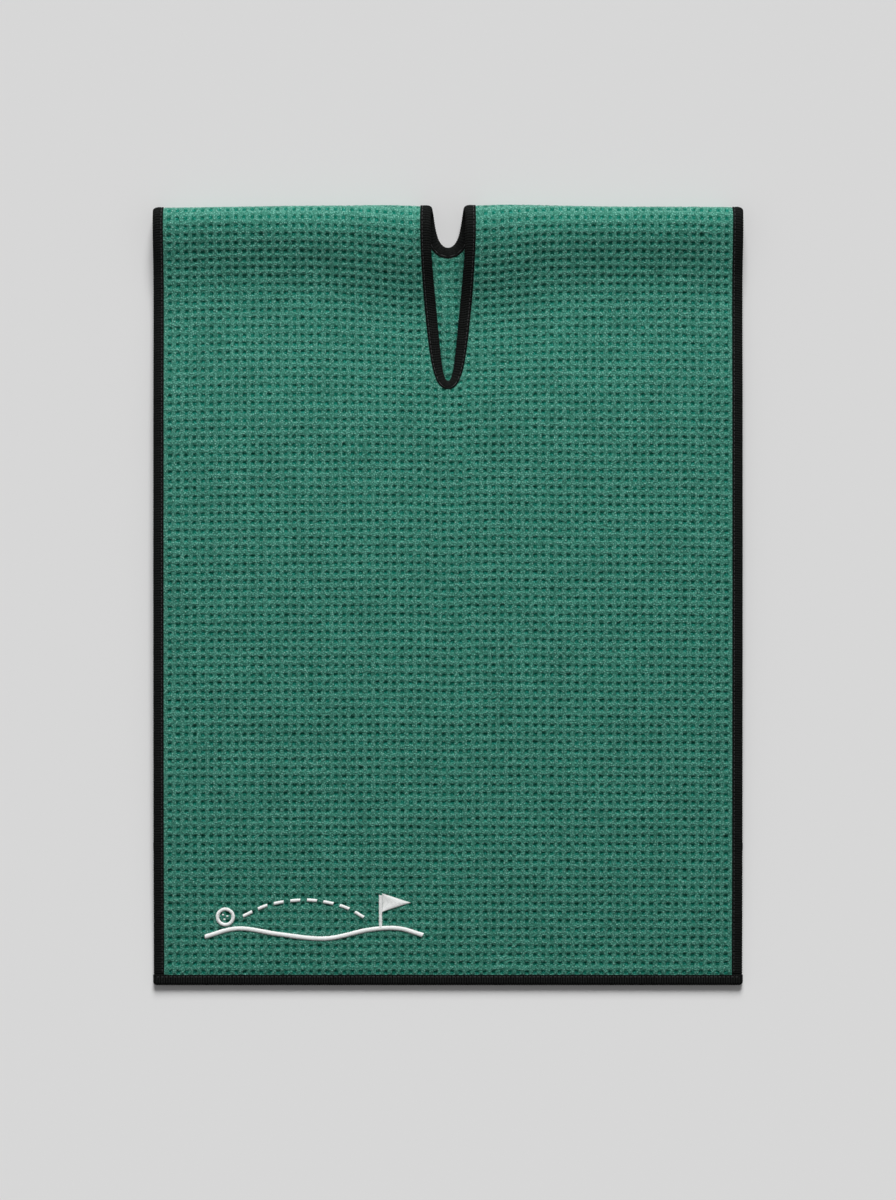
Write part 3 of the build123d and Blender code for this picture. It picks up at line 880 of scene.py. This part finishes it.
def noise(nt, vec, scale, detail=2.0, rough=0.5):
    nd = node(nt, "ShaderNodeTexNoise")
    nd.inputs["Scale"].default_value = scale
    nd.inputs["Detail"].default_value = detail
    nd.inputs["Roughness"].default_value = rough
    nt.links.new(vec, nd.inputs["Vector"])
    return nd.outputs["Fac"]


def ramp(nt, fac, stops):
    nd = node(nt, "ShaderNodeValToRGB")
    el = nd.color_ramp.elements
    while len(el) < len(stops):
        el.new(0.5)
    for e, (p, c) in zip(el, stops):
        e.position = p
        e.color = c if len(c) == 4 else (*c, 1)
    nt.links.new(fac, nd.inputs[0])
    return nd.outputs[0]


def mix(nt, a, b, fac, mode="MIX"):
    nd = node(nt, "ShaderNodeMix", data_type="RGBA", blend_type=mode)
    for sock, val in ((nd.inputs[0], fac), (nd.inputs[6], a), (nd.inputs[7], b)):
        if isinstance(val, (int, float)):
            sock.default_value = val
        elif isinstance(val, tuple):
            sock.default_value = (*val, 1) if len(val) == 3 else val
        else:
            nt.links.new(val, sock)
    return nd.outputs[2]


def maths(nt, op, a, b=0.0, clamp=False):
    nd = node(nt, "ShaderNodeMath", operation=op, use_clamp=clamp)
    for sock, val in ((nd.inputs[0], a), (nd.inputs[1], b)):
        if isinstance(val, (int, float)):
            sock.default_value = val
        else:
            nt.links.new(val, sock)
    return nd.outputs[0]


def bump(nt, height, distance, strength=1.0, normal=None):
    nd = node(nt, "ShaderNodeBump")
    nd.inputs["Strength"].default_value = strength
    nd.inputs["Distance"].default_value = distance
    nt.links.new(height, nd.inputs["Height"])
    if normal is not None:
        nt.links.new(normal, nd.inputs["Normal"])
    return nd.outputs[0]


def cloth_material():
    m, nt, b = material("waffle_microfibre")
    uv = uv_mm(nt)
    rel_ = node(nt, "ShaderNodeAttribute", attribute_name="relief").outputs["Fac"]
    fuzz = noise(nt, uv, 125, 2.0, 0.6)         # under 1 mm tufts
    fibre = noise(nt, uv, 230, 2.0, 0.6)
    blot = noise(nt, uv, 4.5, 2.0, 0.5)
    tuft = node(nt, "ShaderNodeTexVoronoi", feature="F1", distance="EUCLIDEAN")
    tuft.inputs["Scale"].default_value = 78
    tuft.inputs["Randomness"].default_value = 1.0
    nt.links.new(uv, tuft.inputs["Vector"])
    tip = tuft.outputs["Distance"]              # 0 at each fibre tip
    # painted shade: by the relief attribute the pits are coloured darker and greener than the crests, on top of the
    # real shade their depth casts
    pit = maths(nt, "POWER", rel_, 1.35)
    crest = (0.0452, 0.2205, 0.161)
    pit_shade_colour = (0.0085, 0.143, 0.099)
    base = mix(nt, crest, pit_shade_colour, pit)
    # the fibre tips and the fuzz vary at random in tone; the bright ends of these ramps are whitened as painted sheen
    # glints, and the dark ends are darker and greener as painted shade among the fibres
    tip_tone_and_glint = ramp(nt, tip, [(0.07, (4.9, 2.1, 2.4)), (0.24, (1.45, 1.18, 1.24)), (0.50, (0.62, 0.80, 0.77)), (0.75, (0.32, 0.60, 0.55))])
    base = mix(nt, base, tip_tone_and_glint, 0.8, "MULTIPLY")
    speck_tone_and_sheen = ramp(nt, fuzz, [(0.38, (0.32, 0.65, 0.60)), (0.50, (0.96, 0.98, 0.98)), (0.62, (2.2, 1.48, 1.58))])
    base = mix(nt, base, speck_tone_and_sheen, 0.75, "MULTIPLY")
    speck2 = ramp(nt, fibre, [(0.38, (0.55, 0.74, 0.71)), (0.62, (1.6, 1.26, 1.31))])
    base = mix(nt, base, speck2, 0.8, "MULTIPLY")
    big = ramp(nt, blot, [(0.35, (0.94, 0.94, 0.94)), (0.65, (1.05, 1.05, 1.05))])
    base = mix(nt, base, big, 1.0, "MULTIPLY")
    nt.links.new(base, b.inputs["Base Color"])
    rough = ramp(nt, fuzz, [(0.3, (0.82, 0.82, 0.82)), (0.7, (0.97, 0.97, 0.97))])
    nt.links.new(rough, b.inputs["Roughness"])
    # the pits have no sheen of their own
    for socket, most in (("Specular IOR Level", 0.18), ("Sheen Weight", 0.34)):
        fade = node(nt, "ShaderNodeMapRange")
        fade.inputs["To Min"].default_value = most
        fade.inputs["To Max"].default_value = 0.02
        nt.links.new(rel_, fade.inputs["Value"])
        nt.links.new(fade.outputs[0], b.inputs[socket])
    b.inputs["Sheen Roughness"].default_value = 0.42
    b.inputs["Sheen Tint"].default_value = (1.0, 0.95, 0.94, 1)
    h = maths(nt, "ADD", maths(nt, "MULTIPLY", fuzz, 0.7), maths(nt, "MULTIPLY", fibre, 0.4))
    h = maths(nt, "SUBTRACT", h, maths(nt, "MULTIPLY", tip, 0.6))
    nt.links.new(bump(nt, h, 0.0011, 0.9), b.inputs["Normal"])
    return m


def tape_material():
    m, nt, b = material("woven_binding_tape")
    uv = uv_mm(nt)
    rib_ = node(nt, "ShaderNodeAttribute", attribute_name="rib").outputs["Fac"]
    n1 = noise(nt, uv, 150, 2.0, 0.6)
    n2 = noise(nt, uv, 16, 2.0, 0.5)
    # painted shade: by the rib attribute the grooves between the ribs are coloured near black and the ribs lighter, on
    # top of the grooves' real shading
    base = mix(nt, (0.0008, 0.0008, 0.0008), (0.0102, 0.0110, 0.0106), rib_)
    var = ramp(nt, n1, [(0.3, (0.6, 0.6, 0.6)), (0.7, (1.5, 1.5, 1.5))])
    base = mix(nt, base, var, 0.8, "MULTIPLY")
    var2 = ramp(nt, n2, [(0.35, (0.9, 0.9, 0.9)), (0.65, (1.12, 1.12, 1.12))])
    base = mix(nt, base, var2, 1.0, "MULTIPLY")
    nt.links.new(base, b.inputs["Base Color"])
    rough = ramp(nt, n1, [(0.3, (0.78, 0.78, 0.78)), (0.7, (0.92, 0.92, 0.92))])
    nt.links.new(rough, b.inputs["Roughness"])
    b.inputs["Specular IOR Level"].default_value = 0.0     # matt even at a low angle
    b.inputs["Sheen Weight"].default_value = 0.015
    b.inputs["Sheen Roughness"].default_value = 0.3
    # yarns of the tape, running along it between the ribs
    yarn = node(nt, "ShaderNodeTexWave", wave_type="BANDS", bands_direction="Y", wave_profile="SIN")
    yarn.inputs["Scale"].default_value = 55
    yarn.inputs["Distortion"].default_value = 1.2
    nt.links.new(uv, yarn.inputs["Vector"])
    h = maths(nt, "ADD", maths(nt, "MULTIPLY", yarn.outputs["Fac"], 0.5), maths(nt, "MULTIPLY", n1, 0.7))
    nt.links.new(bump(nt, h, 0.0003, 0.8), b.inputs["Normal"])
    return m


def thread_material(name, dark, light, rough_lo, spec, sheen):
    m, nt, b = material(name)
    uv = uv_mm(nt)
    n1 = noise(nt, uv, 190, 2.0, 0.6)
    twist = node(nt, "ShaderNodeTexWave", wave_type="BANDS", bands_direction="DIAGONAL", wave_profile="SIN")
    twist.inputs["Scale"].default_value = 160
    nt.links.new(uv, twist.inputs["Vector"])
    base = mix(nt, dark, light, maths(nt, "ADD", maths(nt, "MULTIPLY", n1, 0.7), maths(nt, "MULTIPLY", twist.outputs["Fac"], 0.3), True))
    nt.links.new(base, b.inputs["Base Color"])
    r = ramp(nt, n1, [(0.3, (rough_lo,) * 3), (0.7, (rough_lo + 0.15,) * 3)])
    nt.links.new(r, b.inputs["Roughness"])
    b.inputs["Specular IOR Level"].default_value = spec
    b.inputs["Sheen Weight"].default_value = sheen
    nt.links.new(bump(nt, twist.outputs["Fac"], 0.00006, 0.6), b.inputs["Normal"])
    return m


def backing_material():
    m, nt, b = material("nonwoven_backing")
    uv = uv_mm(nt)
    n1 = noise(nt, uv, 60, 4.0, 0.7)
    n2 = noise(nt, uv, 220, 2.0, 0.6)
    base = ramp(nt, n1, [(0.3, (0.008, 0.008, 0.009)), (0.7, (0.032, 0.032, 0.034))])
    nt.links.new(base, b.inputs["Base Color"])
    nt.links.new(ramp(nt, n2, [(0.3, (0.8,) * 3), (0.7, (0.95,) * 3)]), b.inputs["Roughness"])
    nt.links.new(bump(nt, maths(nt, "ADD", n1, n2), 0.0002, 0.8), b.inputs["Normal"])
    return m


MAT_CLOTH = cloth_material()
MAT_TAPE = tape_material()
MAT_SEAM = thread_material("seam_thread", (0.016, 0.016, 0.017), (0.052, 0.053, 0.055), 0.45, 0.35, 0.05)
MAT_WHITE = thread_material("embroidery_thread", (0.62, 0.64, 0.63), (0.90, 0.91, 0.90), 0.38, 0.45, 0.15)
MAT_BACK = backing_material()

cloth.data.materials.append(MAT_CLOTH)
follow(cloth)
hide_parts("cloth_back_leaf", "cloth_fold_left", "cloth_fold_right", "cloth_front_leaf")

STANDS = {
    "slit_binding": ["slit_binding_back", "slit_binding_fold_left", "slit_binding_fold_right", "slit_binding_front"],
    "side_binding_left": ["side_binding_left_back", "side_binding_left_fold", "side_binding_left_front"],
    "side_binding_right": ["side_binding_right_back", "side_binding_right_fold", "side_binding_right_front"],
    "hem_tape_front": ["hem_binding_front"],
    "hem_tape_back": ["hem_binding_back"],
    "stitching_slit": ["stitching_slit_back", "stitching_slit_fold", "stitching_slit_front"],
    "stitching_left": ["stitching_left_back", "stitching_left_fold", "stitching_left_front"],
    "stitching_right": ["stitching_right_back", "stitching_right_fold", "stitching_right_front"],
    "stitching_of_hem_front": ["stitching_hem_front"],
    "stitching_of_hem_back": ["stitching_hem_back"],
}
RIDES = {"hem_tape_front": "front_leaf", "stitching_of_hem_front": "front_leaf",
         "hem_tape_back": "back_leaf", "stitching_of_hem_back": "back_leaf"}
for name, (ob, u, s) in parts.items():
    ob.data.materials.append(MAT_SEAM if name.startswith("stitching") else MAT_TAPE)
    if name in RIDES:
        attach(ob, RIDES[name])
    else:
        follow(ob)
    for cad in STANDS[name]:
        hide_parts(cad)

motif.data.materials.append(MAT_WHITE)
follow(motif)
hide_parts("embroidery_motif")
backing.data.materials.append(MAT_BACK)
follow(backing)
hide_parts("embroidery_backing")

# -------------------------------------------------------------------- stage
bpy.ops.mesh.primitive_plane_add(size=44.0, location=(0, 0, 0))
floor = bpy.context.object
floor.name = "floor"
fm, fnt, fb = material("studio_floor")
fb.inputs["Base Color"].default_value = (0.80, 0.80, 0.80, 1)
fb.inputs["Roughness"].default_value = 0.95
fb.inputs["Specular IOR Level"].default_value = 0.0
floor.data.materials.append(fm)
# a pale lit wall far off all round, so that the floor doesn't end in the dark
around = np.linspace(0, 2 * np.pi, 96, endpoint=False)
ring = np.stack([20 * np.cos(around), 20 * np.sin(around), 0 * around], 1)
wall_ = build("backdrop", np.concatenate([ring, ring + np.array([0, 0, 3.0])]),
              grid_quads(2, 96, wrap_c=True, flip=True), solid=False)
wm, wnt, wb = material("studio_backdrop")
wb.inputs["Base Color"].default_value = (0.20, 0.20, 0.20, 1)
wb.inputs["Roughness"].default_value = 0.95
wb.inputs["Specular IOR Level"].default_value = 0.0
wb.inputs["Emission Color"].default_value = (1, 1, 1, 1)
wb.inputs["Emission Strength"].default_value = 0.56
wall_.data.materials.append(wm)
wall_.visible_shadow = False
wall_.visible_diffuse = False

world = bpy.data.worlds.new("studio")
bpy.context.scene.world = world
world.use_nodes = True
world.node_tree.nodes["Background"].inputs[0].default_value = (1, 1, 1, 1)
world.node_tree.nodes["Background"].inputs[1].default_value = 0.206

sun = bpy.data.lights.new("key", "SUN")
sun.energy = 4.05
sun.angle = math.radians(26)
key = bpy.data.objects.new("key", sun)
bpy.context.scene.collection.objects.link(key)
elev = math.radians(30)
key.rotation_euler = (-(math.pi / 2 - elev), 0, math.radians(-2.5))

# a soft overhead light near the fold, on the towel alone
soft = bpy.data.lights.new("overhead", "AREA")
soft.shape = "RECTANGLE"
soft.size, soft.size_y = 0.9, 0.30
soft.energy = 2.6
over = bpy.data.objects.new("overhead", soft)
over.location = (0.0, 0.62, 0.42)
over.rotation_euler = (-math.atan2(0.52, 0.42), 0, 0)
bpy.context.scene.collection.objects.link(over)
lit = bpy.data.collections.new("lit_pieces")
for ob in [cloth, motif, backing] + [v[0] for v in parts.values()]:
    lit.objects.link(ob)
over.light_linking.receiver_collection = lit

cam = bpy.data.cameras.new("camera")
cam.lens = 120
cam.sensor_width = 36
cam.clip_end = 50
camera = bpy.data.objects.new("camera", cam)
bpy.context.scene.collection.objects.link(camera)
SCALE = 0.6895                   # mm of towel to one point of an 896 x 1200 frame
camera.location = (0, -2.73 * MM, (1200 * SCALE * 120 / 36 + 5.0) * MM)
camera.rotation_euler = (0, 0, 0)
bpy.context.scene.camera = camera
bpy.context.scene.view_settings.view_transform = "Standard"
bpy.context.scene.view_settings.look = "None"
